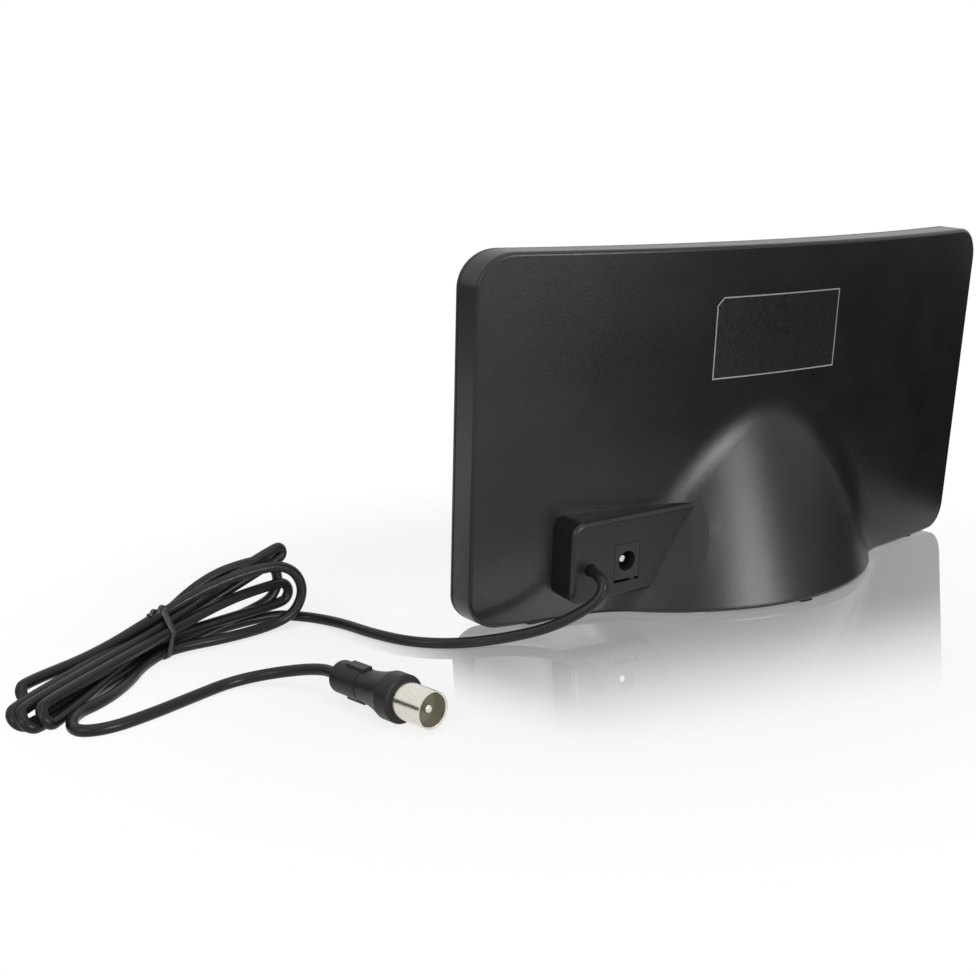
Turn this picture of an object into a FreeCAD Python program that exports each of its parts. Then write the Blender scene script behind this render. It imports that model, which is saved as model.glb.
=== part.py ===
import FreeCAD, Part
import math
import os
from FreeCAD import Placement, Rotation, Vector

# Amplified indoor TV antenna: a curved panel that leans back, with a bell stand moulded into its
# rear cover, a raised connector block, and a coaxial lead tied in a hank. Millimetres, +Z up, the
# rear faces +Y, and the table is at z = 0 under the middle of the part.

# Panel
PANEL_W = 210.6
PANEL_TOP = 109.3
PANEL_T = 11.4
PANEL_SAG = 13.5
LEAN = 5.0
CORNER_R = 11.0
FOOT_CORNER_R = 9.0
WALL = 2.0
FRONT_T = 2.0
RIM_R = 1.2
FRONT_EDGE_R = 1.2
GROOVE_W = 0.5
GROOVE_D = 0.7
LIP_T = 1.2
LIP_H = 2.2
FIT = 0.2

# Bell stand and its underside
BELL_R = 71.0
BELL_X = 3.5
BELL_REACH = 24.5
BELL_SLOPE = 18.5
BLEND_R = 20.0
MOUTH_DEPTH = 5.0
MOUTH_HALF = 46.0
PLATE_T = 2.0
FOOT_SCREW_X = 32.0
FOOT_SCREW_Y = 8.0
FOOT_BOSS_R = 3.0
FOOT_BOSS_TOP = 45.0
FOOT_SCREW_R = 1.2
FOOT_SCREW_L = 9.0
FOOT_HEAD_R = 2.4
FOOT_HEAD_H = 1.2

# Rubber pads
PAD_H = 0.9
PAD_CORNER_R = 1.2
REAR_PAD = (5.0, 5.0)
REAR_PAD_X = 3.2
REAR_PAD_Y = 20.2
FRONT_PAD = (12.0, 5.0)
FRONT_PAD_X = 80.0
FRONT_PAD_Y = -13.0

# Connector block, in the panel's own frame: u to the side, w to the rear, v up the panel
BLOCK_SIDE = 80.5
BLOCK_INNER = 20.0
BLOCK_LOW = 7.2
BLOCK_HIGH = 32.2
BLOCK_FACE = 2.5
BLOCK_CORNER_R = 4.0
BLOCK_EDGE_R = 1.5

# DC socket
JACK_U = 60.4
JACK_V = 18.1
JACK_W = 9.0
JACK_H = 11.0
JACK_HOLE_R = 3.1
JACK_HOLE_DEPTH = 8.5
JACK_PIN_R = 1.0
JACK_PIN_L = 6.2
CONTACT_W = 2.0
CONTACT_T = 0.3
CONTACT_L = 3.5
JACK_GAP = 0.15
JACK_GAP_LOW = 0.9

# Amplifier board behind the block
BOARD_DEPTH = 10.5
BOARD_T = 1.2
BOARD_L = 41.4
BOARD_GAP = 1.0
BOARD_SCREW_IN = 4.5
BOARD_SCREW_DOWN = 2.8
BOARD_BOSS_R = 2.3
BOARD_SCREW_R = 0.9
BOARD_SCREW_L = 6.0
BOARD_HEAD_R = 1.7
BOARD_HEAD_H = 1.1
CAN_W = 11.0
CAN_L = 13.0
CAN_H = 5.5
CAN_T = 0.4
CAN_GAP = 0.9

# Receiving plates inside the panel
ELEMENT_DEPTH = 6.0
ELEMENT_T = 0.4
ELEMENT_MIDDLE_GAP = 7.0
ELEMENT_SIDE_GAP = 9.5
ELEMENT_TOP_GAP = 8.4
ELEMENT_LOW = 40.0
ELEMENT_BAR = 15.0
ELEMENT_CORNER_R = 6.0
POST_R = 2.2
POST_NUB_R = 1.0
POST_NUB_H = 0.9
FEED_D = 1.2
FEED_IN = 4.0
FEED_STEP = 3.0
FEED_BACK = 5.0
FEED_RUN = 6.0

# Blank sticker
LABEL_U = (-23.0, 28.5)
LABEL_V = (69.0, 93.8)
LABEL_T = 0.15
LABEL_CHAMFER = 2.4

# Coaxial lead and its inner end
CORD_D = 3.1
EXIT_U = 74.0
EXIT_V = 17.5
EXIT_HOLE_R = 1.9
EXIT_RUN = 6.5
CLIP_SIZE = 7.0
CLIP_T = 3.0

# Route of the lead from the block to the hank, and of the tail from the hank to the plug
LEAD_ROUTE = [(75.7, 11.5, 12.2), (80.8, 8.3, 7.6), (90.4, 4.0, 3.4),
              (103.3, -1.5, 1.6), (115.2, -5.6, 1.6), (124.6, -14.8, 1.6), (129.6, -28.6, 1.6),
              (132.1, -42.4, 1.6), (137.5, -54.0, 2.4), (146.0, -57.5, 5.8)]
TAIL_ROUTE = [(203.5, -31.5, 3.0), (211.0, -22.0, 2.0), (220.7, -17.2, 1.6), (224.3, -8.0, 1.6),
              (216.3, -2.6, 1.6), (203.4, -6.5, 1.6), (191.0, -12.0, 1.6), (178.3, -15.8, 1.6),
              (167.7, -11.8, 3.0)]

# Hank: places along its length as (x, y, width, height), from the plug end to the block end
HANK = [(233.5, -18.5, 12.0, 6.5), (223.5, -24.0, 16.5, 9.0), (204.5, -38.0, 14.5, 11.5),
        (185.0, -51.7, 12.5, 14.0), (165.0, -53.5, 13.5, 19.0), (148.0, -56.5, 12.5, 24.0),
        (138.5, -57.0, 8.0, 16.0)]
HANK_CLEAR = 0.8
TIE_T = 0.7
TIE_W = 1.6
TIE_TAIL_L = 9.0

# Coaxial TV plug, along its own axis from the cord end
PLUG_BACK = (158.68, 8.56)
PLUG_TURN = 100.9
PLUG_ENTRY = 8.0
PLUG_BODY_L = 25.4
PLUG_BACK_R = 4.3
PLUG_BACK_L = 10.6
PLUG_STEP = 0.12
COLLAR_R = 6.2
COLLAR_L = 4.6
COLLAR_RECESS = 0.8
RECESS_GAP = 0.35
FLARE_SHARE = 0.28
PLUG_EDGE_R = 0.6
PLUG_END_R = 1.4
WING_L = 7.0
WING_AT = 4.5
WING_T = 3.2
WING_RISE = 0.5
SLEEVE_R = 4.75
SLEEVE_T = 0.55
SLEEVE_MOUTH = 0.25
SLEEVE_L = 10.2
SLEEVE_SEAT = 3.6
SLEEVE_SEAT_RISE = 0.4
PLUG_PIN_R = 1.15
PLUG_PIN_SHORT = 1.2
INSULATOR_L = 4.0

# Values worked out from those sizes
SKIN_R = ((PANEL_W / 2) ** 2 + PANEL_SAG ** 2) / (2 * PANEL_SAG)
LEAN_COS = math.cos(math.radians(LEAN))
PANEL_H = (PANEL_TOP - PAD_H) / LEAN_COS
REAR_DEPTH = PANEL_T - FRONT_T
BELL_Y = BELL_REACH - BELL_R
ELEMENT_U = (ELEMENT_MIDDLE_GAP, PANEL_W / 2 - ELEMENT_SIDE_GAP)
ELEMENT_V = (ELEMENT_LOW, PANEL_H - ELEMENT_TOP_GAP)
TIE_AT = len(HANK) // 2
BELL_TAN = math.tan(math.radians(BELL_SLOPE))
BOARD_W = BLOCK_FACE - BOARD_DEPTH
BOARD_U = (BLOCK_SIDE - WALL - BOARD_GAP - BOARD_L, BLOCK_SIDE - WALL - BOARD_GAP)
BOARD_V = (BLOCK_LOW + WALL + BOARD_GAP, BLOCK_HIGH - WALL - BOARD_GAP)
BOARD_SCREWS = [(BOARD_U[0] + BOARD_SCREW_IN, BOARD_V[1] - BOARD_SCREW_DOWN),
                (BOARD_U[0] + BOARD_SCREW_IN, BOARD_V[0] + BOARD_SCREW_DOWN),
                (BOARD_U[1] - BOARD_SCREW_IN, BOARD_V[1] - BOARD_SCREW_DOWN)]
CAN_U = (JACK_U - JACK_W / 2 - CAN_GAP - CAN_W, JACK_U - JACK_W / 2 - CAN_GAP)
CAN_V = (BOARD_V[0] + CAN_GAP, BOARD_V[0] + CAN_GAP + CAN_L)
RECESS_START = PLUG_BODY_L - COLLAR_RECESS
SLEEVE_START = RECESS_START - SLEEVE_SEAT
SLEEVE_ALL = SLEEVE_SEAT + COLLAR_RECESS + SLEEVE_L
RUN_OUT = 2 * BLEND_R
FAR = 3 * PANEL_W
LEANED = Placement(Vector(0, 0, PAD_H), Rotation(Vector(1, 0, 0), -LEAN))
REARWARD = Vector(0, 1, 0)


def leaned(shape):
    """The shape, drawn in the panel's own frame, set at the panel's lean."""
    placed = shape.copy()
    placed.Placement = LEANED.multiply(shape.Placement)
    return placed


def leaned_point(u, w, v):
    return LEANED.multVec(Vector(u, w, v))


def box(u, w, v):
    """Box between the two ends given on each axis."""
    return Part.makeBox(u[1] - u[0], w[1] - w[0], v[1] - v[0], Vector(u[0], w[0], v[0]))


def rod(radius, length, u, w, v):
    """Cylinder along the rear direction, starting at w."""
    return Part.makeCylinder(radius, length, Vector(u, w, v), REARWARD)


def polygon_face(points):
    return Part.Face(Part.makePolygon(points + points[:1]))


def edges_between(shape, low, high):
    """Straight or round edges of a shape that lie wholly inside a box."""
    room = FreeCAD.BoundBox(low, high)
    return [edge for edge in shape.Edges if room.isInside(edge.BoundBox)]


def skin_w(u, depth=0.0):
    """Place of the panel's skin, or of a surface at a depth under it, at u."""
    return math.sqrt((SKIN_R - depth) ** 2 - u ** 2) - SKIN_R


def skin_arc(depth, half):
    """Arc at a depth under the panel's skin, from -half to half."""
    end = skin_w(half, depth)
    return Part.Arc(Vector(-half, end, 0), Vector(0, -depth, 0), Vector(half, end, 0)).toShape()


def curved_slab(outer, inner, half=PANEL_W, low=-RUN_OUT, high=PANEL_H + RUN_OUT):
    """Slab that follows the panel's curve between two depths under its skin."""
    rear = skin_arc(outer, half)
    front = skin_arc(inner, half)
    sides = [Part.makeLine(rear.valueAt(rear.LastParameter), front.valueAt(front.LastParameter)),
             Part.makeLine(front.valueAt(front.FirstParameter), rear.valueAt(rear.FirstParameter))]
    face = Part.Face(Part.Wire([rear, sides[0], front, sides[1]]))
    face.translate(Vector(0, 0, low))
    return leaned(face.extrude(Vector(0, 0, high - low)))


def behind_skin(depth):
    """All the room behind a surface at a depth under the panel's skin."""
    return curved_slab(-PANEL_W, depth, half=PANEL_W * 0.7)


def bell_cone(inset, low, high):
    """The bell's cone between two heights, its flank moved in by inset."""
    shrink = inset / math.cos(math.radians(BELL_SLOPE))
    radii = [BELL_R - shrink - BELL_TAN * (z - PAD_H) for z in (low, high)]
    return Part.makeCone(radii[0], radii[1], high - low, Vector(BELL_X, BELL_Y, low))


def bell_seam(shape):
    """Edges where the bell's flank meets the panel's rear skin."""
    seam = []
    for edge in shape.Edges:
        faces = shape.ancestorsOfType(edge, Part.Face)
        kinds = sorted(face.Surface.TypeId for face in faces)
        if kinds == ["Part::GeomCone", "Part::GeomCylinder"]:
            seam.append(edge)
    return seam


def panel_and_bell(inset, front):
    """Panel slab and bell joined by the large blend, all moved in by inset, running on below."""
    low = PAD_H - RUN_OUT
    slab = curved_slab(inset, front, low=-2 * RUN_OUT)
    bell = bell_cone(inset, low, PANEL_TOP).common(behind_skin(REAR_DEPTH / 2))
    floor = box((-FAR, FAR), (-FAR, FAR), (low, 2 * PANEL_TOP))
    joined = slab.fuse(bell).common(floor).removeSplitter()
    return joined.makeFillet(BLEND_R + inset, bell_seam(joined))


def outline(inset):
    """Everything inside the panel's outline seen from behind, moved in by inset."""
    half = PANEL_W / 2 - inset
    upper = box((-half, half), (-FAR, FAR), (-FAR, PANEL_H - inset))
    lower = box((-half, half), (-FAR, FAR), (PAD_H + inset, FAR))
    upper = upper.makeFillet(CORNER_R - inset, [edge for edge in upper.Edges
                                                if edge.BoundBox.YLength > FAR and edge.BoundBox.ZMin > 0])
    lower = lower.makeFillet(FOOT_CORNER_R - inset, [edge for edge in lower.Edges
                                                     if edge.BoundBox.YLength > FAR and edge.BoundBox.ZMax < PANEL_H])
    return leaned(upper).common(lower)


def rim_edges(shape):
    """Edges where a face that looks rearward meets one that looks sideways, up or down."""
    rim = []
    for edge in shape.Edges:
        middle = edge.valueAt((edge.FirstParameter + edge.LastParameter) / 2)
        looks = []
        for face in shape.ancestorsOfType(edge, Part.Face):
            looks.append(face.normalAt(*face.Surface.parameter(middle)).y)
        if len(looks) == 2 and max(looks) > 0.15 and abs(min(looks)) < 0.15:
            rim.append(edge)
    return rim


def connector_block(inset):
    """Raised block beside the bell, its walls moved in by inset."""
    side = BLOCK_SIDE - inset
    face = BLOCK_FACE - inset
    low = BLOCK_LOW + inset
    high = BLOCK_HIGH - inset
    root = skin_w(BLOCK_SIDE, WALL / 2 + inset)
    block = box((BLOCK_INNER, side), (root, face), (low, high))
    corners = edges_between(block, Vector(side - 0.1, -FAR, -FAR), Vector(side + 0.1, FAR, FAR))
    corners = [edge for edge in corners if edge.BoundBox.YLength > 1]
    block = block.makeFillet(BLOCK_CORNER_R - inset, corners)
    if inset == 0:
        front = edges_between(block, Vector(-FAR, face - 0.1, -FAR), Vector(FAR, face + 0.1, FAR))
        front = [edge for edge in front if edge.BoundBox.XMax > BLOCK_INNER + 0.1]
        block = block.makeFillet(BLOCK_EDGE_R, front)
    return leaned(block)


def foot_mouth(gap, low, high):
    """Opening in the underside of the bell, or the plate that fills it, smaller by gap."""
    cone = bell_cone(WALL + gap, low, high)
    width = box((BELL_X - MOUTH_HALF + gap, BELL_X + MOUTH_HALF - gap), (-FAR, FAR), (low, high))
    return cone.common(behind_skin(MOUTH_DEPTH - gap)).common(width)


def foot_screw_places():
    return [Vector(BELL_X + side * FOOT_SCREW_X, FOOT_SCREW_Y, PAD_H) for side in (-1, 1)]


def rear_cover():
    """Rear shell: panel, bell and connector block in one moulding, with its screw bosses."""
    skin = panel_and_bell(0, REAR_DEPTH).common(outline(0)).removeSplitter()
    skin = skin.makeFillet(RIM_R, rim_edges(skin))
    solid = skin.fuse(connector_block(0))
    hollow = panel_and_bell(WALL, REAR_DEPTH + 1).common(outline(WALL))
    shell = solid.cut(hollow).cut(connector_block(WALL))
    shell = shell.cut(foot_mouth(0, PAD_H - 1, PAD_H + WALL + 1))
    for place in foot_screw_places():
        base = place + Vector(0, 0, PLATE_T)
        boss = Part.makeCylinder(FOOT_BOSS_R, FOOT_BOSS_TOP, base).common(solid)
        shell = shell.fuse(boss)
        shell = shell.cut(Part.makeCylinder(FOOT_SCREW_R, FOOT_SCREW_L, base))
    for u, v in BOARD_SCREWS:
        boss = leaned(rod(BOARD_BOSS_R, 3 * BOARD_DEPTH, u, BOARD_W, v)).common(solid)
        shell = shell.fuse(boss)
        shell = shell.cut(leaned(rod(BOARD_SCREW_R, BOARD_SCREW_L, u, BOARD_W, v)))
    socket = box((JACK_U - JACK_W / 2 - JACK_GAP, JACK_U + JACK_W / 2 + JACK_GAP), (BOARD_W, PANEL_T),
                 (JACK_V - JACK_H / 2 - JACK_GAP_LOW, JACK_V + JACK_H / 2 + JACK_GAP))
    shell = shell.cut(leaned(socket))
    shell = shell.cut(leaned(rod(EXIT_HOLE_R, 2 * BOARD_DEPTH, EXIT_U, BOARD_W, EXIT_V)))
    groove = curved_slab(REAR_DEPTH - GROOVE_W, REAR_DEPTH + 1).cut(outline(GROOVE_D))
    return shell.cut(groove).removeSplitter()


def element_places(side):
    """Posts that carry one receiving plate, near its corners."""
    inset = ELEMENT_BAR / 2
    return [(side * u, v) for u in (ELEMENT_U[0] + inset, ELEMENT_U[1] - inset)
            for v in (ELEMENT_V[0] + inset, ELEMENT_V[1] - inset)]


def front_cover():
    """Curved front plate with its locating lip and the posts for the receiving plates."""
    plate = curved_slab(REAR_DEPTH, PANEL_T).common(outline(0)).removeSplitter()
    front = []
    for edge in plate.Edges:
        middle = edge.valueAt((edge.FirstParameter + edge.LastParameter) / 2)
        looks = [face.normalAt(*face.Surface.parameter(middle)).y
                 for face in plate.ancestorsOfType(edge, Part.Face)]
        if min(looks) < -0.5 and abs(max(looks)) < 0.3:
            front.append(edge)
    plate = plate.makeFillet(FRONT_EDGE_R, front)
    ring = outline(WALL + FIT).cut(outline(WALL + FIT + LIP_T))
    cover = plate.fuse(curved_slab(REAR_DEPTH - LIP_H, REAR_DEPTH + 1).common(ring))
    for side in (-1, 1):
        for u, v in element_places(side):
            post = leaned(rod(POST_R, PANEL_W, u, -PANEL_W, v))
            nub = leaned(rod(POST_NUB_R, PANEL_W, u, -PANEL_W, v))
            cover = cover.fuse(post.common(curved_slab(ELEMENT_DEPTH, REAR_DEPTH + 1)))
            cover = cover.fuse(nub.common(curved_slab(ELEMENT_DEPTH - POST_NUB_H, REAR_DEPTH + 1)))
    return cover.removeSplitter()


def receiving_plate(side):
    """Stamped loop of thin tinned sheet that follows the panel's curve."""
    ends = sorted((side * ELEMENT_U[0], side * ELEMENT_U[1]))
    blank = box(ends, (-FAR, FAR), ELEMENT_V)
    blank = blank.makeFillet(ELEMENT_CORNER_R, [edge for edge in blank.Edges if edge.BoundBox.YLength > FAR])
    window = box((ends[0] + ELEMENT_BAR, ends[1] - ELEMENT_BAR), (-FAR, FAR),
                 (ELEMENT_V[0] + ELEMENT_BAR, ELEMENT_V[1] - ELEMENT_BAR))
    blank = blank.cut(window)
    for u, v in element_places(side):
        blank = blank.cut(rod(POST_NUB_R, 2 * FAR, u, -FAR, v))
    return leaned(blank).common(curved_slab(ELEMENT_DEPTH - ELEMENT_T, ELEMENT_DEPTH))


def tube(route, diameter, name):
    """Round tube along straight runs joined by tangent arcs as large as the runs allow."""
    points = [Vector(*point) for point in route]
    edges = []
    radii = []
    start = points[0]
    for before, corner, after in zip(points, points[1:], points[2:]):
        arrive = (corner - before).normalize()
        leave = (after - corner).normalize()
        half_turn = arrive.getAngle(leave) / 2
        setback = 0.45 * min(before.distanceToPoint(corner), corner.distanceToPoint(after))
        radius = setback / math.tan(half_turn)
        first = corner - arrive * setback
        last = corner + leave * setback
        centre = corner + (leave - arrive).normalize() * (radius / math.cos(half_turn))
        middle = centre + (corner - centre).normalize() * radius
        edges.append(Part.LineSegment(start, first).toShape())
        edges.append(Part.Arc(first, middle, last).toShape())
        radii.append(round(radius, 1))
        start = last
    edges.append(Part.LineSegment(start, points[-1]).toShape())
    path = Part.Wire(edges)
    ring = Part.Wire(Part.makeCircle(diameter / 2, points[0], points[1] - points[0]))
    solid = path.makePipeShell([ring], True, False)
    section = math.pi * diameter ** 2 / 4
    print(name, "length", round(path.Length, 1), "arc radii", radii,
          "volume over section times length", round(solid.Volume / (section * path.Length), 4))
    return solid


def hank_frame(index):
    """Centre, side direction and forward direction of one place along the hank."""
    x, y, width, height = HANK[index]
    before = HANK[max(index - 1, 0)]
    after = HANK[min(index + 1, len(HANK) - 1)]
    forward = Vector(after[0] - before[0], after[1] - before[1], 0).normalize()
    return Vector(x, y, HANK_CLEAR + height / 2), forward.cross(Vector(0, 0, 1)), forward


def hank_ring(index, grow=0.0):
    """Oval section of the hank at one place, larger by grow all round."""
    centre, side, forward = hank_frame(index)
    width, height = HANK[index][2:]
    points = []
    for step in range(8):
        angle = math.tau * step / 8
        points.append(centre + side * (math.cos(angle) * (width / 2 + grow))
                      + Vector(0, 0, math.sin(angle) * (height / 2 + grow)))
    oval = Part.BSplineCurve()
    oval.interpolate(points, PeriodicFlag=True)
    return Part.Wire(oval.toShape())


def coax_hank():
    """Outer shape of the tied hank, narrow at the tie and fuller at both ends."""
    return Part.makeLoft([hank_ring(index) for index in range(len(HANK))], True)


def twist_tie(hank):
    """Wire tie round the hank's waist, with its twisted ends lying on top."""
    centre, side, forward = hank_frame(TIE_AT)
    band = Part.Face(hank_ring(TIE_AT, TIE_T))
    band.translate(forward * (-TIE_W / 2))
    band = band.extrude(forward * TIE_W)
    top = centre + Vector(0, 0, HANK[TIE_AT][3] / 2 + TIE_T)
    ends = Part.makeCylinder(TIE_T, TIE_TAIL_L, top, side * 0.5 - forward * 0.8 + Vector(0, 0, 0.15))
    return band.fuse(ends).cut(hank).removeSplitter()


def plug_placed(shape):
    """The shape, drawn along X from the cord end, laid on the table on the plug's collar."""
    placed = shape.copy()
    lie = Placement(Vector(PLUG_BACK[0], PLUG_BACK[1], COLLAR_R), Rotation(Vector(0, 0, 1), PLUG_TURN))
    placed.Placement = lie.multiply(shape.Placement)
    return placed


def along_x(radius, length, start):
    return Part.makeCylinder(radius, length, Vector(start, 0, 0), Vector(1, 0, 0))


def plug_body():
    """Moulded grip: straight back, stepped waist and flared collar, with a rib above and below."""
    collar_start = PLUG_BODY_L - COLLAR_L
    waist_r = PLUG_BACK_R - PLUG_STEP
    back = [Vector(0, 0, 0), Vector(0, 0, PLUG_BACK_R), Vector(PLUG_BACK_L, 0, PLUG_BACK_R),
            Vector(PLUG_BACK_L, 0, waist_r)]
    front = [Vector(collar_start, 0, COLLAR_R), Vector(PLUG_BODY_L, 0, COLLAR_R), Vector(PLUG_BODY_L, 0, 0),
             Vector(0, 0, 0)]
    halfway = Vector((PLUG_BACK_L + collar_start) / 2, 0, waist_r + FLARE_SHARE * (COLLAR_R - waist_r))
    flare = Part.Arc(back[3], halfway, front[0]).toShape()
    wire = Part.Wire(Part.makePolygon(back).Edges + [flare] + Part.makePolygon(front).Edges)
    body = Part.Face(wire).revolve(Vector(0, 0, 0), Vector(1, 0, 0), 360)
    rings = [edge for edge in body.Edges if edge.Curve.TypeId == "Part::GeomCircle" and edge.BoundBox.XLength < 0.01]
    body = body.makeFillet(PLUG_END_R, [edge for edge in rings if edge.BoundBox.XMax < 0.01])
    rings = [edge for edge in body.Edges if edge.Curve.TypeId == "Part::GeomCircle" and edge.BoundBox.XLength < 0.01]
    body = body.makeFillet(PLUG_EDGE_R, [edge for edge in rings if edge.BoundBox.XMin > PLUG_BODY_L - 0.01])
    rise = PLUG_BACK_R + WING_RISE
    wing = box((WING_AT, WING_AT + WING_L), (-WING_T / 2, WING_T / 2), (-rise, rise))
    wing = wing.makeFillet(PLUG_EDGE_R / 2, wing.Edges)
    body = body.fuse(wing)
    body = body.cut(along_x(SLEEVE_R + SLEEVE_SEAT_RISE, SLEEVE_SEAT, SLEEVE_START))
    body = body.cut(along_x(SLEEVE_R + SLEEVE_SEAT_RISE + RECESS_GAP, PLUG_BODY_L, RECESS_START))
    return plug_placed(body.removeSplitter())


def plug_sleeve():
    """Outer contact: thin sleeve, thicker where the grip holds it, with a bevelled mouth."""
    bore = SLEEVE_R - SLEEVE_T
    sleeve = along_x(SLEEVE_R, SLEEVE_ALL, SLEEVE_START)
    sleeve = sleeve.fuse(along_x(SLEEVE_R + SLEEVE_SEAT_RISE, SLEEVE_SEAT, SLEEVE_START))
    sleeve = sleeve.cut(along_x(bore, SLEEVE_ALL, SLEEVE_START))
    mouth = [edge for edge in sleeve.Edges if edge.BoundBox.XMin > PLUG_BODY_L and edge.BoundBox.YMax < bore + 0.1]
    return plug_placed(sleeve.makeChamfer(SLEEVE_MOUTH, mouth))


def plug_insulator():
    length = SLEEVE_ALL - INSULATOR_L
    disc = along_x(SLEEVE_R - SLEEVE_T, length, SLEEVE_START)
    return plug_placed(disc.cut(along_x(PLUG_PIN_R, length, SLEEVE_START)))


def plug_pin():
    length = SLEEVE_ALL - PLUG_PIN_SHORT
    pin = along_x(PLUG_PIN_R, length, SLEEVE_START)
    tip = [edge for edge in pin.Edges if edge.BoundBox.XMin > SLEEVE_START + length - 0.01]
    return plug_placed(pin.makeFillet(PLUG_PIN_R * 0.6, tip))


def base_plate():
    """Plate that closes the bell from below, with recessed screw heads."""
    plate = foot_mouth(FIT, PAD_H, PAD_H + PLATE_T)
    for place in foot_screw_places():
        plate = plate.cut(Part.makeCylinder(FOOT_SCREW_R, PLATE_T, place))
        plate = plate.cut(Part.makeCylinder(FOOT_HEAD_R, FOOT_HEAD_H, place))
    return plate


def base_screws():
    screws = []
    for place in foot_screw_places():
        head = Part.makeCylinder(FOOT_HEAD_R, FOOT_HEAD_H, place)
        shank = Part.makeCylinder(FOOT_SCREW_R, FOOT_SCREW_L + PLATE_T - FOOT_HEAD_H, place + Vector(0, 0, FOOT_HEAD_H))
        screws.append(head.fuse(shank).removeSplitter())
    return Part.makeCompound(screws)


def foot_pad(x, y, size):
    """Rubber pad with rounded corners, from the table up to the underside."""
    pad = box((x - size[0] / 2, x + size[0] / 2), (y - size[1] / 2, y + size[1] / 2), (0, PAD_H))
    return pad.makeFillet(PAD_CORNER_R, [edge for edge in pad.Edges if edge.BoundBox.ZLength > PAD_H / 2])


def amplifier_board():
    board = box(BOARD_U, (BOARD_W - BOARD_T, BOARD_W), BOARD_V)
    for u, v in BOARD_SCREWS:
        board = board.cut(rod(BOARD_SCREW_R, 2 * BOARD_T, u, BOARD_W - 2 * BOARD_T, v))
    return leaned(board)


def board_screws():
    screws = []
    for u, v in BOARD_SCREWS:
        under = BOARD_W - BOARD_T
        head = rod(BOARD_HEAD_R, BOARD_HEAD_H, u, under - BOARD_HEAD_H, v)
        shank = rod(BOARD_SCREW_R, BOARD_T + BOARD_SCREW_L, u, under, v)
        screws.append(leaned(head.fuse(shank).removeSplitter()))
    return Part.makeCompound(screws)


def shield_can():
    """Tinned box over the amplifier, open towards the board."""
    can = box(CAN_U, (BOARD_W, BOARD_W + CAN_H), CAN_V)
    room = box((CAN_U[0] + CAN_T, CAN_U[1] - CAN_T), (BOARD_W - 1, BOARD_W + CAN_H - CAN_T),
               (CAN_V[0] + CAN_T, CAN_V[1] - CAN_T))
    return leaned(can.cut(room))


def dc_jack_body():
    body = box((JACK_U - JACK_W / 2, JACK_U + JACK_W / 2), (BOARD_W, BLOCK_FACE),
               (JACK_V - JACK_H / 2, JACK_V + JACK_H / 2))
    return leaned(body.cut(rod(JACK_HOLE_R, JACK_HOLE_DEPTH, JACK_U, BLOCK_FACE - JACK_HOLE_DEPTH, JACK_V)))


def dc_jack_pin():
    return leaned(rod(JACK_PIN_R, JACK_PIN_L, JACK_U, BLOCK_FACE - JACK_HOLE_DEPTH, JACK_V))


def dc_jack_contact():
    """Spring leaf that stands on the floor of the socket beside its pin."""
    floor = BLOCK_FACE - JACK_HOLE_DEPTH
    outer = math.sqrt(JACK_HOLE_R ** 2 - (CONTACT_W / 2) ** 2)
    return leaned(box((JACK_U - CONTACT_W / 2, JACK_U + CONTACT_W / 2), (floor, floor + CONTACT_L),
                      (JACK_V - outer, JACK_V - outer + CONTACT_T)))


def coax_inner():
    return leaned(rod(CORD_D / 2, BOARD_DEPTH, EXIT_U, BOARD_W, EXIT_V))


def cable_clip():
    """Collar pressed on the lead behind the block's wall, so that it can't be pulled out."""
    half = CLIP_SIZE / 2
    wall_inside = BLOCK_FACE - WALL
    clip = box((EXIT_U - half, EXIT_U + half), (wall_inside - CLIP_T, wall_inside), (EXIT_V - half, EXIT_V + half))
    return leaned(clip.cut(rod(CORD_D / 2, BOARD_DEPTH, EXIT_U, BOARD_W, EXIT_V)))


def blank_label():
    left, right = LABEL_U
    low, high = LABEL_V
    corners = [(left, low), (right, low), (right, high - LABEL_CHAMFER), (right - LABEL_CHAMFER, high), (left, high)]
    sheet = polygon_face([Vector(u, 0, v) for u, v in corners]).extrude(REARWARD * -PANEL_T)
    sheet = leaned(sheet.fuse(polygon_face([Vector(u, 0, v) for u, v in corners]).extrude(REARWARD)))
    return sheet.common(curved_slab(-LABEL_T, 0)).removeSplitter()


def feed_lead(side):
    """Wire from the foot of a receiving plate to the amplifier board."""
    start = (side * (ELEMENT_U[0] + FEED_IN), ELEMENT_V[0] + FEED_IN)
    finish = (BOARD_U[0] + BOARD_L / 2 - FEED_BACK + side * FEED_STEP, BOARD_V[1] - FEED_STEP)
    bend = (finish[0] - FEED_RUN, BLOCK_HIGH + side + FEED_STEP)
    flat = [start, (start[0] + FEED_IN, ELEMENT_V[0] - side)]
    flat += [(flat[1][0] + (bend[0] - flat[1][0]) * part, bend[1] + (FEED_IN - side) * (1 - part) ** 2)
             for part in (0.3, 0.7)]
    flat += [bend, finish]
    start_w = skin_w(start[0], ELEMENT_DEPTH - ELEMENT_T) + FEED_D / 2
    lift_w = start_w + FEED_D / 3
    fall = BOARD_W + FEED_D / 2 - lift_w
    reach = finish[0] - flat[1][0]
    route = [leaned_point(start[0], start_w, start[1])]
    route += [leaned_point(u, lift_w + fall * (u - flat[1][0]) / reach, v) for u, v in flat[1:]]
    return tube(route, FEED_D, "feed lead")


def joined_to(tube_solid, hank):
    """The tube without the end that the hank's solid covers."""
    return max(tube_solid.cut(hank).Solids, key=lambda piece: piece.Volume)


def coax_lead(hank):
    leaving = [leaned_point(EXIT_U, BLOCK_FACE + run, EXIT_V) for run in (0, EXIT_RUN)]
    return joined_to(tube(leaving + LEAD_ROUTE, CORD_D, "coax lead"), hank)


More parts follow.
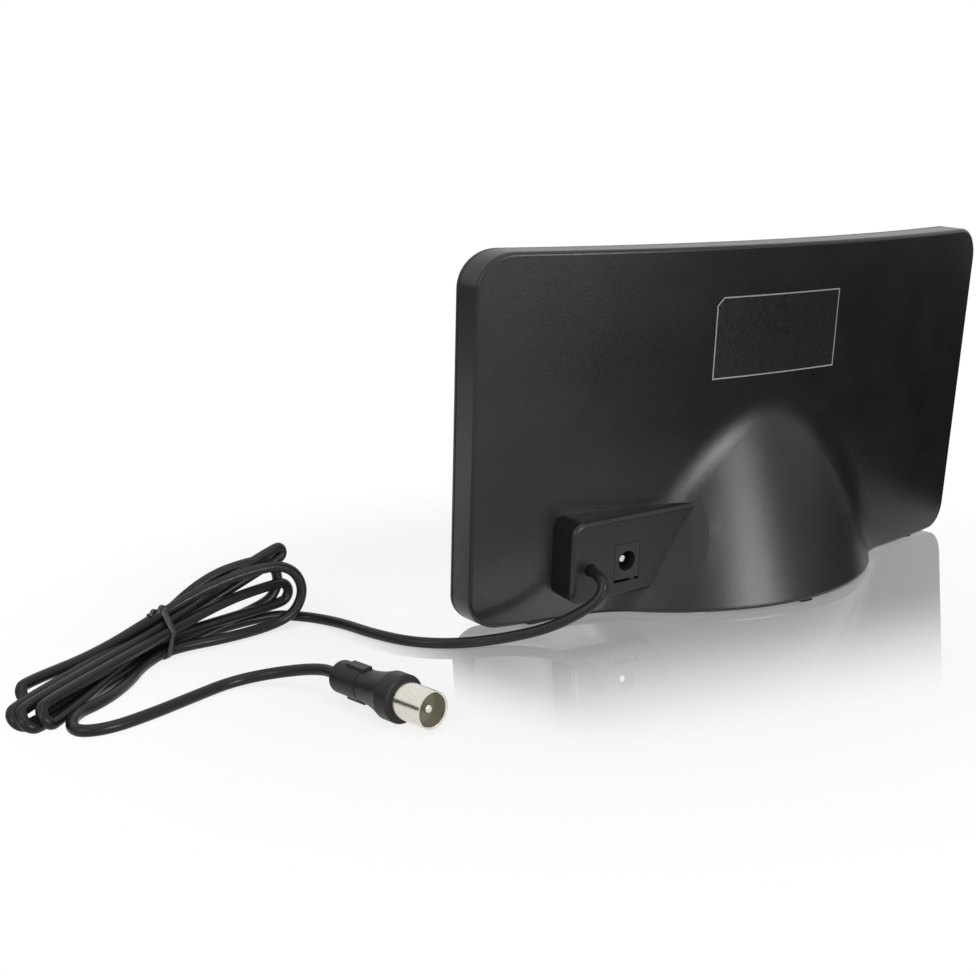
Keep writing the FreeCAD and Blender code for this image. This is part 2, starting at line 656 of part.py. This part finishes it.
def coax_tail(hank):
    turn = math.radians(PLUG_TURN)
    entering = [Vector(PLUG_BACK[0] - run * math.cos(turn), PLUG_BACK[1] - run * math.sin(turn), COLLAR_R)
                for run in (PLUG_ENTRY, 0)]
    return joined_to(tube(TAIL_ROUTE + entering, CORD_D, "coax tail"), hank)


hank_solid = coax_hank()
nodes = {
    "rear_cover": rear_cover(),
    "front_cover": front_cover(),
    "base_plate": base_plate(),
    "base_screws": base_screws(),
    "foot_pad_rear": foot_pad(REAR_PAD_X, REAR_PAD_Y, REAR_PAD),
    "foot_pad_left": foot_pad(FRONT_PAD_X, FRONT_PAD_Y, FRONT_PAD),
    "foot_pad_right": foot_pad(-FRONT_PAD_X, FRONT_PAD_Y, FRONT_PAD),
    "element_left": receiving_plate(1),
    "element_right": receiving_plate(-1),
    "feed_lead_left": feed_lead(1),
    "feed_lead_right": feed_lead(-1),
    "amplifier_board": amplifier_board(),
    "board_screws": board_screws(),
    "shield_can": shield_can(),
    "dc_jack_body": dc_jack_body(),
    "dc_jack_pin": dc_jack_pin(),
    "dc_jack_contact": dc_jack_contact(),
    "coax_inner": coax_inner(),
    "cable_clip": cable_clip(),
    "blank_label": blank_label(),
    "coax_lead": coax_lead(hank_solid),
    "coax_hank": hank_solid,
    "coax_tail": coax_tail(hank_solid),
    "twist_tie": twist_tie(hank_solid),
    "plug_body": plug_body(),
    "plug_sleeve": plug_sleeve(),
    "plug_insulator": plug_insulator(),
    "plug_pin": plug_pin(),
}

os.makedirs("parts", exist_ok=True)
for name, shape in nodes.items():
    shape.exportStep("parts/" + name + ".step")
    print(name, "solids", len(shape.Solids), "valid", shape.isValid(), "volume", round(shape.Volume, 1))
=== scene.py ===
import math

import bmesh
import bpy
from mathutils import Matrix, Vector


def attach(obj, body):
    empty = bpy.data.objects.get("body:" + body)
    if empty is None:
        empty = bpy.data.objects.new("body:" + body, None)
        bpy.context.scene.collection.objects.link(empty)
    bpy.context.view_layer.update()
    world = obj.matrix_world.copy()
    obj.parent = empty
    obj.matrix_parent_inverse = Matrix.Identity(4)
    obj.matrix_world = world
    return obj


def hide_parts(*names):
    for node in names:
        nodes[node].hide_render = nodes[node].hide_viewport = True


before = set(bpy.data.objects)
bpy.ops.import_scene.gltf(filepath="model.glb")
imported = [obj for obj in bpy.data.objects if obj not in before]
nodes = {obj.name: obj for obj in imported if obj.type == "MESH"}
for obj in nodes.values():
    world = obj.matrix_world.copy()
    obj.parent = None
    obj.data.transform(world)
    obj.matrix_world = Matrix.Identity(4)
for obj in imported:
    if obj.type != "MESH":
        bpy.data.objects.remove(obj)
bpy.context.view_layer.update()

MM = 0.001

# Covers and base plate: injection-moulded black plastic with a fine spark-eroded grain, satin on the
# broad faces. The rear cover, with its bell and connector block, is one moulding; the front cover
# snaps into it and the base plate is screwed into the bell from below.
COVER_DARK = (0.0065, 0.0065, 0.0067, 1)
COVER_PALE = (0.0095, 0.0095, 0.0097, 1)
GRAIN_PER_M = 3400
GRAINS_PER_CLOUD = 60
TONE_RANGE = (0.35, 0.65)
ROUGH_RANGE = (0.3, 0.7)


def new_finish(name):
    """Empty node material with its shader, ready for a finish to be built on it."""
    finish = bpy.data.materials.new(name)
    finish.use_nodes = True
    shader = finish.node_tree.nodes["Principled BSDF"]
    return finish, finish.node_tree.nodes, finish.node_tree.links, shader


def grain_noise(tree_nodes, links, scale, detail=3):
    """Noise over the piece's own metres."""
    where = tree_nodes.new("ShaderNodeTexCoord")
    noise = tree_nodes.new("ShaderNodeTexNoise")
    noise.inputs["Scale"].default_value = scale
    noise.inputs["Detail"].default_value = detail
    links.new(where.outputs["Object"], noise.inputs["Vector"])
    return noise.outputs["Fac"]


def two_tone(tree_nodes, links, driver, dark, pale):
    """Ramp between two close tones of one colour."""
    ramp = tree_nodes.new("ShaderNodeValToRGB")
    for element, position, tone in zip(ramp.color_ramp.elements, TONE_RANGE, (dark, pale)):
        element.position = position
        element.color = tone
    links.new(driver, ramp.inputs["Fac"])
    return ramp.outputs["Color"]


def spread(tree_nodes, links, driver, low, high):
    """Map a noise value to a range, for roughness."""
    ranged = tree_nodes.new("ShaderNodeMapRange")
    ranged.inputs["From Min"].default_value, ranged.inputs["From Max"].default_value = ROUGH_RANGE
    ranged.inputs["To Min"].default_value = low
    ranged.inputs["To Max"].default_value = high
    links.new(driver, ranged.inputs["Value"])
    return ranged.outputs["Result"]


def relief(tree_nodes, links, driver, depth):
    """Bump of a real depth in metres."""
    bump = tree_nodes.new("ShaderNodeBump")
    bump.inputs["Strength"].default_value = 1.0
    bump.inputs["Distance"].default_value = depth
    links.new(driver, bump.inputs["Height"])
    return bump.outputs["Normal"]


def moulded_finish(name, dark, pale, grain, rough, depth, specular=0.5):
    """Moulded plastic: two close tones in broad clouds, and a fine grain that breaks up the gloss."""
    finish, tree, links, shader = new_finish(name)
    clouds = grain_noise(tree, links, grain / GRAINS_PER_CLOUD)
    fine = grain_noise(tree, links, grain, 2)
    links.new(two_tone(tree, links, clouds, dark, pale), shader.inputs["Base Color"])
    links.new(spread(tree, links, fine, *rough), shader.inputs["Roughness"])
    links.new(relief(tree, links, fine, depth), shader.inputs["Normal"])
    shader.inputs["Specular IOR Level"].default_value = specular
    return finish


def dress(node, finish):
    """Put one finish on a CAD node."""
    mesh = nodes[node].data
    mesh.materials.clear()
    mesh.materials.append(finish)


cover_black = moulded_finish("cover_black", COVER_DARK, COVER_PALE, grain=GRAIN_PER_M, rough=(0.28, 0.36),
                             depth=0.00004, specular=0.35)
for cover in ("rear_cover", "front_cover", "base_plate"):
    dress(cover, cover_black)

# Foot pads: three die-cut pads of soft black rubber, glued under the bell's rear rim and under both
# ends of the panel.
pad_black = moulded_finish("pad_black", (0.012, 0.012, 0.012, 1), (0.022, 0.022, 0.021, 1), grain=1500,
                           rough=(0.75, 0.9), depth=0.00006, specular=0.3)
for pad in ("foot_pad_rear", "foot_pad_left", "foot_pad_right"):
    dress(pad, pad_black)


# Screws: zinc-plated steel, driven up through the base plate into the bell's bosses and through the
# amplifier board into the cover.
def plated_finish(name, dark, pale, grain, rough, depth):
    """Plated metal with faint drawing marks."""
    finish, tree, links, shader = new_finish(name)
    fine = grain_noise(tree, links, grain)
    links.new(two_tone(tree, links, fine, dark, pale), shader.inputs["Base Color"])
    links.new(spread(tree, links, fine, *rough), shader.inputs["Roughness"])
    links.new(relief(tree, links, fine, depth), shader.inputs["Normal"])
    shader.inputs["Metallic"].default_value = 1.0
    return finish


zinc = plated_finish("zinc", (0.42, 0.42, 0.43, 1), (0.6, 0.6, 0.6, 1), grain=900, rough=(0.3, 0.45),
                     depth=0.00001)
for screws in ("base_screws", "board_screws"):
    dress(screws, zinc)

# Inside the panel: two stamped loops of tinned sheet, their feed wires, and the amplifier board with
# its shield can. Nothing of them shows from outside.
tinned = plated_finish("tinned", (0.55, 0.55, 0.53, 1), (0.7, 0.7, 0.68, 1), grain=220, rough=(0.28, 0.45),
                       depth=0.00001)
for sheet in ("element_left", "element_right", "shield_can"):
    dress(sheet, tinned)
wire_red = moulded_finish("wire_red", (0.2, 0.02, 0.015, 1), (0.27, 0.03, 0.02, 1), grain=1500,
                          rough=(0.35, 0.5), depth=0.00001)
for wire in ("feed_lead_left", "feed_lead_right"):
    dress(wire, wire_red)
board_green = moulded_finish("board_green", (0.01, 0.07, 0.025, 1), (0.02, 0.11, 0.04, 1), grain=700,
                             rough=(0.3, 0.45), depth=0.00002)
dress("amplifier_board", board_green)

# DC socket: plain moulded black body flush with the block's face, a nickel-plated pin in the middle
# of its hole and a spring leaf beside it. The clip behind the wall holds the lead.
socket_black = moulded_finish("socket_black", (0.012, 0.012, 0.0125, 1), (0.019, 0.019, 0.0195, 1),
                              grain=2600, rough=(0.36, 0.46), depth=0.00002, specular=0.3)
dress("dc_jack_body", socket_black)
dress("cable_clip", socket_black)
nickel = plated_finish("nickel", (0.68, 0.65, 0.58, 1), (0.76, 0.73, 0.66, 1), grain=1500, rough=(0.17, 0.25),
                       depth=0.000001)
dress("dc_jack_pin", nickel)
dress("dc_jack_contact", nickel)

# Sticker: a bare black film label with one clipped corner and a thin pale outline along its edge, on
# the upper middle of the rear cover. The outline is the rim of the label's own face, lifted a hair.
OUTLINE_W = 0.4 * MM
OUTLINE_LIFT = 0.04 * MM
MERGE_DISTANCE = 0.001 * MM
FACES_REAR = 0.5


def mesh_from(name, build):
    """Mesh of what was built, which is then let go."""
    mesh = bpy.data.meshes.new(name)
    build.to_mesh(mesh)
    build.free()
    return mesh


def placed(name, data):
    """Object for a mesh, curve, lamp or camera, put in the scene."""
    piece = bpy.data.objects.new(name, data)
    bpy.context.scene.collection.objects.link(piece)
    return piece


label_film = moulded_finish("label_film", (0.008, 0.008, 0.0085, 1), (0.012, 0.012, 0.0124, 1), grain=900,
                            rough=(0.3, 0.4), depth=0.00001, specular=0.4)
dress("blank_label", label_film)
outline_build = bmesh.new()
outline_build.from_mesh(nodes["blank_label"].data)
bmesh.ops.remove_doubles(outline_build, verts=outline_build.verts[:], dist=MERGE_DISTANCE)
face_up = [face for face in outline_build.faces if face.normal.y > FACES_REAR]
rim = bmesh.ops.inset_region(outline_build, faces=face_up, thickness=OUTLINE_W, use_boundary=True,
                             use_even_offset=True)["faces"]
not_rim = [face for face in outline_build.faces if face not in rim]
bmesh.ops.delete(outline_build, geom=not_rim, context="FACES")
bmesh.ops.translate(outline_build, vec=(0, OUTLINE_LIFT, 0), verts=outline_build.verts[:])
label_outline = placed("label_outline", mesh_from("label_outline", outline_build))
outline_grey = moulded_finish("outline_grey", (0.2, 0.2, 0.2, 1), (0.27, 0.27, 0.27, 1), grain=900,
                              rough=(0.4, 0.5), depth=0.00001)
label_outline.data.materials.append(outline_grey)
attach(label_outline, "root")

# Coaxial lead: a 3 mm cable with a smooth black sheath. It leaves the block, drops to the table,
# is folded into a hank of long loops held by the tie at its waist, and runs on to the plug.
CORD_D = 3.1 * MM
LEAD_START = [(74.0, 1.0, 18.38), (74.0, 10.5, 17.55)]
LEAD_ROUTE = [(75.7, 11.5, 12.2), (80.8, 8.3, 7.6), (90.4, 4.0, 3.4), (103.3, -1.5, 1.6), (115.2, -5.6, 1.6),
              (124.6, -14.8, 1.6), (129.6, -28.6, 1.6), (132.1, -42.4, 1.6), (138.2, -55.6, 1.6),
              (149.6, -59.4, 3.2)]
TAIL_ROUTE = [(193.2, -42.3, 1.6), (201.0, -31.2, 1.6), (210.6, -22.0, 1.6), (219.8, -17.6, 1.6),
              (223.4, -7.0, 1.6), (215.8, -3.3, 1.6), (203.4, -6.5, 1.6), (191.0, -11.2, 1.6),
              (178.3, -15.8, 1.6), (167.7, -11.6, 3.0)]
TAIL_END = [(160.19, 0.7, 6.2), (158.68, 8.56, 6.2), (158.3, 10.52, 6.2)]
WAIST = Vector((185.0, -52.0, 0.0))
TO_FRONT = Vector((-0.5, 0.866, 0.0))
# Each fold of the hank: where its lower strand passes the tie (towards the front, height), the loop at
# its left end (x, y, bottom, top, slant, lift, bow), where its upper strand passes the tie, and the loop
# at its right end. Slant sets the upper strand back, lift raises it, bow brings the lower one forward.
FOLDS = [((-1.7, 1.7), (234.0, -17.3, 1.6, 5.4, 4.6, 0.0, 0.0),
          (-1.7, 8.4), (144.0, -59.0, 6.6, 21.2, 0.0, 4.4, 0.0)),
         ((1.2, 1.9), (232.5, -14.6, 1.6, 5.8, 4.6, 0.0, 0.0),
          (1.5, 8.4), (142.2, -59.5, 19.8, 23.5, 0.0, 1.2, 0.0)),
         ((-1.7, 5.0), (227.9, -14.0, 1.6, 6.2, 3.0, 0.0, 0.0),
          (4.0, 7.4), (141.2, -58.5, 6.4, 12.8, 0.0, 1.8, 0.0)),
         ((1.5, 5.2), (229.2, -26.9, 3.0, 7.8, 4.6, -2.0, 0.0),
          (0.4, 11.8), (138.8, -52.9, 1.8, 20.2, 0.0, 2.0, 2.4))]
LAST_STRAND = (3.7, 2.4)
LOOP_REACH = 1.08
LOOP_ANGLES = [-90, -45, 0, 45, 90]


def tie_pass(forward, height):
    """Where a strand passes the tie."""
    return WAIST + TO_FRONT * forward + Vector((0, 0, height))


def loop_end(x, y, bottom, top, slant, upward):
    """Points round one loop end, from its lower strand to its upper one or back."""
    tip = Vector((x, y, (bottom + top) / 2))
    run = (Vector((x, y, 0)) - WAIST).normalized()
    rise = (Vector((0, 0, top - bottom)) - TO_FRONT * slant) / 2
    reach = LOOP_REACH * rise.length
    turns = [math.radians(angle) for angle in (LOOP_ANGLES if upward else reversed(LOOP_ANGLES))]
    return [tip + run * (reach * (math.cos(turn) - 1)) + rise * math.sin(turn) for turn in turns]


def hank_turn(loop, first_pass, last_pass, upward):
    """One loop with the strands that join it to the tie."""
    points = loop_end(*loop[:5], upward=upward)
    lift = Vector((0, 0, loop[5]))
    bow = TO_FRONT * loop[6]
    first, last = (bow, lift) if upward else (lift, bow)
    return [first_pass, (first_pass + points[0]) / 2 + first, *points, (last_pass + points[-1]) / 2 + last]


def hank_route():
    """All folds of the hank as one run of points."""
    route = []
    for fold, (low, left, high, right) in enumerate(FOLDS):
        next_low = FOLDS[fold + 1][0] if fold + 1 < len(FOLDS) else LAST_STRAND
        route += hank_turn(left, tie_pass(*low), tie_pass(*high), True)
        route += hank_turn(right, tie_pass(*high), tie_pass(*next_low), False)
    route.append(tie_pass(*LAST_STRAND))
    return route


def round_curve(name, diameter, facets, steps):
    """Empty curve that gives its splines a round section."""
    curve = bpy.data.curves.new(name, "CURVE")
    curve.dimensions = "3D"
    curve.bevel_depth = diameter / 2
    curve.bevel_resolution = facets
    curve.resolution_u = steps
    curve.use_fill_caps = True
    return curve


def add_spline(curve, places):
    """One smooth open spline, given its control points in millimetres."""
    spline = curve.splines.new("NURBS")
    spline.points.add(len(places) - 1)
    for point, place in zip(spline.points, places):
        point.co = (*(place * MM), 1.0)
    spline.order_u = 3
    spline.use_endpoint_u = True


cord_points = [Vector(p) for p in LEAD_START + LEAD_ROUTE] + hank_route()
cord_points += [Vector(p) for p in TAIL_ROUTE + TAIL_END]
cord_curve = round_curve("coax_cord", CORD_D, facets=5, steps=8)
add_spline(cord_curve, cord_points)
coax_cord = placed("coax_cord", cord_curve)
cord_black = moulded_finish("cord_black", (0.008, 0.008, 0.0082, 1), (0.012, 0.012, 0.0122, 1), grain=1200,
                            rough=(0.26, 0.36), depth=0.00003, specular=0.22)
cord_curve.materials.append(cord_black)
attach(coax_cord, "root")
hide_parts("coax_lead", "coax_hank", "coax_tail")
dress("coax_inner", cord_black)

# Tie: a flat strip of film with wire in it, taken once round the hank's waist at a lean. Its two ends
# are twisted together on top and laid along the hank.
TIE_ALONG = (2.3, 4.1)
TIE_LEAN = 0.27
TIE_GAP = 0.25
TIE_T = 0.45
TIE_STEPS = 48
TWIST_FROM = (2.0, 14.0)
TWIST_RUN = Vector((0.95, 0.25, -0.2))
TWIST_LENGTH = 5.5
TWIST_TURNS = 1.0
TWIST_STEPS = 24
WIRE_D = 1.2
WIRE_APART = 0.55 * WIRE_D
HANK_RUN = Vector((0.866, 0.5, 0.0))
POINTS_PER_TURN = len(LOOP_ANGLES) + 3
SAMPLES = 20


def strands_at(along):
    """Where each strand crosses the tie's leaning plane: towards the front, and height."""
    crossings = []
    first = len(LEAD_START) + len(LEAD_ROUTE)
    for index in range(first, first + len(hank_route()), POINTS_PER_TURN):
        before, here, after = cord_points[index - 1:index + 2]
        run = []
        for step in range(SAMPLES + 1):
            t = step / SAMPLES - 0.5
            run.append(before * (0.5 - t) ** 2 / 2 + here * (0.75 - t * t) + after * (0.5 + t) ** 2 / 2)
        nearest = min(run, key=lambda place: abs((place - WAIST).dot(HANK_RUN) - along + TIE_LEAN * place.z))
        crossings.append(((nearest - WAIST).dot(TO_FRONT), nearest.z))
    return crossings


def wrapped_ring(along):
    """Line drawn tight round every strand that crosses the tie."""
    passes = strands_at(along)
    radius = CORD_D / MM / 2 + TIE_GAP
    ring = []
    for step in range(TIE_STEPS):
        turn = math.tau * step / TIE_STEPS
        aim = (math.cos(turn), math.sin(turn))
        forward, height = max(passes, key=lambda place: place[0] * aim[0] + place[1] * aim[1])
        shift = HANK_RUN * (along - TIE_LEAN * height)
        height = max(height + radius * aim[1], TIE_T)
        ring.append(tie_pass(forward + radius * aim[0], height) + shift)
    return ring


strip = bmesh.new()
edges = []
for along in TIE_ALONG:
    ring = [strip.verts.new(place * MM) for place in wrapped_ring(along)]
    edges += [strip.edges.new((ring[step - 1], ring[step])) for step in range(TIE_STEPS)]
bmesh.ops.bridge_loops(strip, edges=edges)
bmesh.ops.solidify(strip, geom=strip.faces[:], thickness=TIE_T * MM)
bmesh.ops.recalc_face_normals(strip, faces=strip.faces[:])
tie_strip = placed("tie_strip", mesh_from("tie_strip", strip))
tie_strip.data.shade_smooth()

twist_run = TWIST_RUN.normalized()
twist_side = twist_run.cross(Vector((0, 0, 1))).normalized()
twist_up = twist_side.cross(twist_run)
twist_start = tie_pass(*TWIST_FROM) + HANK_RUN * (TIE_ALONG[0] - TIE_LEAN * TWIST_FROM[1])
twist_curve = round_curve("tie_twist", WIRE_D * MM, facets=3, steps=6)
for phase in (0, math.pi):
    wire_points = []
    for step in range(TWIST_STEPS + 1):
        share = step / TWIST_STEPS
        turn = math.tau * TWIST_TURNS * share + phase
        side = (twist_side * math.cos(turn) + twist_up * math.sin(turn)) * WIRE_APART
        wire_points.append(twist_start + twist_run * (TWIST_LENGTH * share) + side)
    add_spline(twist_curve, wire_points)
tie_twist = placed("tie_twist", twist_curve)

tie_black = moulded_finish("tie_black", (0.016, 0.016, 0.016, 1), (0.026, 0.026, 0.026, 1), grain=1800,
                           rough=(0.25, 0.4), depth=0.00002)
for tie in (tie_strip, tie_twist):
    tie.data.materials.append(tie_black)
    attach(tie, "root")
    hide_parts("twist_tie")

# Coaxial TV plug: a soft moulded grip with a flared collar, over a nickel-plated sleeve, an
# insulator disc and a solid pin. A thin lip of the grip closes on the sleeve inside the collar.
PLUG_BACK = Vector((158.68, 8.56, 6.2))
PLUG_TURN = 100.9
LIP_R = (4.76, 5.56)
LIP_X = (24.7, 25.2)
LIP_STEPS = 48
grip_black = moulded_finish("grip_black", (0.01, 0.01, 0.0102, 1), (0.016, 0.016, 0.016, 1), grain=2400,
                            rough=(0.36, 0.48), depth=0.00003, specular=0.25)
dress("plug_body", grip_black)
dress("plug_sleeve", nickel)
dress("plug_pin", nickel)
# The insulator disc is painted a dark olive as painted shade, standing for the dim inside of the sleeve's
# bore.
insulator_painted_shade = moulded_finish("insulator_painted_shade", (0.1, 0.095, 0.07, 1), (0.14, 0.13, 0.1, 1), grain=1200,
                                 rough=(0.4, 0.55), depth=0.00002)
dress("plug_insulator", insulator_painted_shade)
lip_build = bmesh.new()
corners = [(LIP_X[0], LIP_R[0]), (LIP_X[0], LIP_R[1]), (LIP_X[1], LIP_R[1]), (LIP_X[1], LIP_R[0])]
profile = [lip_build.verts.new((x * MM, 0, r * MM)) for x, r in corners]
loop = [lip_build.edges.new((profile[i - 1], profile[i])) for i in range(len(profile))]
bmesh.ops.spin(lip_build, geom=profile + loop, cent=(0, 0, 0), axis=(1, 0, 0), angle=math.tau,
               steps=LIP_STEPS, use_merge=True)
bmesh.ops.recalc_face_normals(lip_build, faces=lip_build.faces[:])
plug_place = Matrix.Translation(PLUG_BACK * MM) @ Matrix.Rotation(math.radians(PLUG_TURN), 4, "Z")
bmesh.ops.transform(lip_build, matrix=plug_place, verts=lip_build.verts[:])
grip_lip = placed("grip_lip", mesh_from("grip_lip", lip_build))
grip_lip.data.materials.append(grip_black)
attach(grip_lip, "root")

# Table: a plain white glossy sheet that keeps the object's soft shadow and mirrors its foot. Away from
# the object it fades into the white of the surround, so that no horizon shows. To mirrored rays alone
# it is dark on the right, like the unlit side of a studio.
FLOOR_HALF = 6.0
MIDDLE = (0.0, 0.0, 0.0)
FADE_CENTRE = (0.06, -0.02, 0.0)
FADE_REACH = (0.06, 0.2)
NEAR_WHITE = 0.68
MIRROR_SHARE = 0.66
MIRROR_DEPTH = (0.025, 0.105)
MIRROR_WIDTH = (0.11, 0.14)
MIRROR_TURN = -0.2
LONG_IN_X = (100.0, 1.0, 1.0)
LONG_IN_Y = (1.0, 100.0, 1.0)
DIM_CENTRE = (-0.433, 0.324, 0.0)
DIM_REACH = (0.45, 0.51)


def sum_of(tree_nodes, links, first, second):
    """Two values added, kept between 0 and 1."""
    total = tree_nodes.new("ShaderNodeMath")
    total.operation = "ADD"
    total.use_clamp = True
    links.new(first, total.inputs[0])
    links.new(second, total.inputs[1])
    return total.outputs["Value"]


def seen_directly(tree_nodes, links):
    """1 where the camera looks at a thing, also in a mirror or through glass, and 0 for light."""
    ray = tree_nodes.new("ShaderNodeLightPath")
    mirrored = sum_of(tree_nodes, links, ray.outputs["Is Glossy Ray"], ray.outputs["Is Transmission Ray"])
    return sum_of(tree_nodes, links, ray.outputs["Is Camera Ray"], mirrored)


floor_build = bmesh.new()
bmesh.ops.create_grid(floor_build, x_segments=1, y_segments=1, size=FLOOR_HALF)
floor = placed("floor", mesh_from("floor", floor_build))
floor_white, tree, links, shader = new_finish("floor_white")
shader.inputs["Base Color"].default_value = (0.9, 0.9, 0.9, 1)
shader.inputs["Roughness"].default_value = 0.5
shader.inputs["Specular IOR Level"].default_value = 0.0
where = tree.new("ShaderNodeTexCoord")
ray = tree.new("ShaderNodeLightPath")
gloss = tree.new("ShaderNodeBsdfGlossy")
gloss.inputs["Color"].default_value = (0.97, 0.97, 0.97, 1)
gloss.inputs["Roughness"].default_value = 0.025
glow = tree.new("ShaderNodeEmission")
glow.inputs["Color"].default_value = (1, 1, 1, 1)
glow.inputs["Strength"].default_value = 1.0
dark = tree.new("ShaderNodeEmission")
dark.inputs["Strength"].default_value = 0.0


def falloff(centre, start, end, near, far, stretch=(1.0, 1.0, 1.0), turn=0.0):
    """Value that goes from near to far with the distance from a place on the sheet."""
    shift = tree.new("ShaderNodeMapping")
    shift.vector_type = "TEXTURE"
    shift.inputs["Location"].default_value = centre
    shift.inputs["Scale"].default_value = stretch
    shift.inputs["Rotation"].default_value = (0.0, 0.0, turn)
    distance = tree.new("ShaderNodeVectorMath")
    distance.operation = "LENGTH"
    ranged = tree.new("ShaderNodeMapRange")
    ranged.interpolation_type = "SMOOTHSTEP"
    ranged.inputs["From Min"].default_value = start
    ranged.inputs["From Max"].default_value = end
    ranged.inputs["To Min"].default_value = near
    ranged.inputs["To Max"].default_value = far
    links.new(where.outputs["Object"], shift.inputs["Vector"])
    links.new(shift.outputs["Vector"], distance.inputs[0])
    links.new(distance.outputs["Value"], ranged.inputs["Value"])
    return ranged.outputs["Result"]


def product_of(first, second):
    """Two values multiplied."""
    product = tree.new("ShaderNodeMath")
    product.operation = "MULTIPLY"
    links.new(first, product.inputs[0])
    links.new(second, product.inputs[1])
    return product.outputs["Value"]


def mixed(share, first, second):
    """One shader that turns into another as the share goes from 0 to 1."""
    mix = tree.new("ShaderNodeMixShader")
    links.new(share, mix.inputs["Fac"])
    links.new(first, mix.inputs[1])
    links.new(second, mix.inputs[2])
    return mix.outputs["Shader"]


white_share = product_of(falloff(FADE_CENTRE, *FADE_REACH, NEAR_WHITE, 1.0), seen_directly(tree, links))
dim_share = product_of(falloff(DIM_CENTRE, *DIM_REACH, 1.0, 0.0), ray.outputs["Is Glossy Ray"])
mirror_share = product_of(falloff(MIDDLE, *MIRROR_DEPTH, MIRROR_SHARE, 0.0, LONG_IN_X, MIRROR_TURN),
                          falloff(MIDDLE, *MIRROR_WIDTH, 1.0, 0.0, LONG_IN_Y))
surface = mixed(white_share, shader.outputs["BSDF"], glow.outputs["Emission"])
surface = mixed(dim_share, surface, dark.outputs["Emission"])
surface = mixed(mirror_share, surface, gloss.outputs["BSDF"])
links.new(surface, tree["Material Output"].inputs["Surface"])
floor.data.materials.append(floor_white)

# Light: a low soft box on the camera's side, which lights the bell and casts no shadow, and weaker ones
# from the left and above. Standing dark cards show only in the gloss, where they keep black plastic
# black, and the surround is white to the camera.
CARD_FOOT = 0.001
CARD_RIGHT = [(-0.6, -0.1, 0.03), (-0.58, 0.0, 0.112), (-0.5, 0.35, 0.112), (-0.25, 0.68, 0.1)]
CARD_BACK = [(0.85, -0.15, 0.16), (0.62, -0.48, 0.16), (0.2, -0.68, 0.16), (0.1, -0.7, 0.05),
             (-0.4, -0.6, 0.05)]
SURROUND_LIGHT = 0.35


def soft_box(name, place, target, size, power):
    """Rectangular lamp that looks at a target."""
    lamp = bpy.data.lights.new(name, "AREA")
    lamp.shape = "RECTANGLE"
    lamp.size, lamp.size_y = size
    lamp.energy = power
    holder = placed(name, lamp)
    holder.location = place
    holder.rotation_euler = (Vector(target) - Vector(place)).to_track_quat("-Z", "Y").to_euler()
    return holder


strip_box = soft_box("strip_box", (-0.2, 1.2, 0.3), target=(0.02, 0.03, 0.03), size=(0.46, 0.22), power=8.5)
strip_box.data.use_shadow = False
soft_box("left_box", (0.95, 0.4, 0.5), target=(0.1, 0.0, 0.05), size=(0.6, 0.6), power=3)
soft_box("top_box", (0.05, 0.2, 1.2), target=(0.05, 0.0, 0.0), size=(1.0, 1.0), power=4)
card_build = bmesh.new()
for posts in (CARD_RIGHT, CARD_BACK):
    feet = [card_build.verts.new((x, y, CARD_FOOT)) for x, y, height in posts]
    line = [card_build.edges.new(pair) for pair in zip(feet, feet[1:])]
    raised = bmesh.ops.extrude_edge_only(card_build, edges=line)["geom"]
    for vert in [part for part in raised if isinstance(part, bmesh.types.BMVert)]:
        vert.co.z = min(posts, key=lambda post: (vert.co.xy - Vector(post[:2])).length)[2]
dark_card = placed("dark_card", mesh_from("dark_card", card_build))
card_black, tree, links, shader = new_finish("card_black")
shader.inputs["Base Color"].default_value = (0.01, 0.01, 0.01, 1)
shader.inputs["Roughness"].default_value = 1.0
shader.inputs["Specular IOR Level"].default_value = 0.0
dark_card.data.materials.append(card_black)
dark_card.visible_camera = False
dark_card.visible_diffuse = False
dark_card.visible_shadow = False
world = bpy.data.worlds.new("surround")
bpy.context.scene.world = world
world.use_nodes = True
sky, sky_links = world.node_tree.nodes, world.node_tree.links
strength = sky.new("ShaderNodeMapRange")
strength.inputs["To Min"].default_value = SURROUND_LIGHT
strength.inputs["To Max"].default_value = 1.0
sky_links.new(seen_directly(sky, sky_links), strength.inputs["Value"])
sky["Background"].inputs["Color"].default_value = (1, 1, 1, 1)
sky_links.new(strength.outputs["Result"], sky["Background"].inputs["Strength"])

# Camera: the photograph's own angle, from behind and a little above.
CAMERA_AT = Vector((304.3621, 301.7521, 125.9902)) * MM
YAW, PITCH, ROLL = -0.5806, 0.2167, -0.0225
FOCAL_PX, FRAME_PX, SENSOR_MM = 1339.004, 976, 36.0
forward = Vector((math.sin(YAW) * math.cos(PITCH), -math.cos(YAW) * math.cos(PITCH), -math.sin(PITCH)))
level_right = Vector((-math.cos(YAW), -math.sin(YAW), 0))
level_up = level_right.cross(forward)
right = level_right * math.cos(ROLL) + level_up * math.sin(ROLL)
up = level_up * math.cos(ROLL) - level_right * math.sin(ROLL)
camera_data = bpy.data.cameras.new("photo_camera")
camera_data.sensor_width = SENSOR_MM
camera_data.lens = FOCAL_PX / FRAME_PX * SENSOR_MM
camera_data.clip_start = 0.01
camera_data.clip_end = 50
camera = placed("photo_camera", camera_data)
camera.matrix_world = Matrix((right, up, -forward)).transposed().to_4x4()
camera.location = CAMERA_AT
bpy.context.scene.camera = camera
bpy.context.scene.view_settings.view_transform = "Standard"
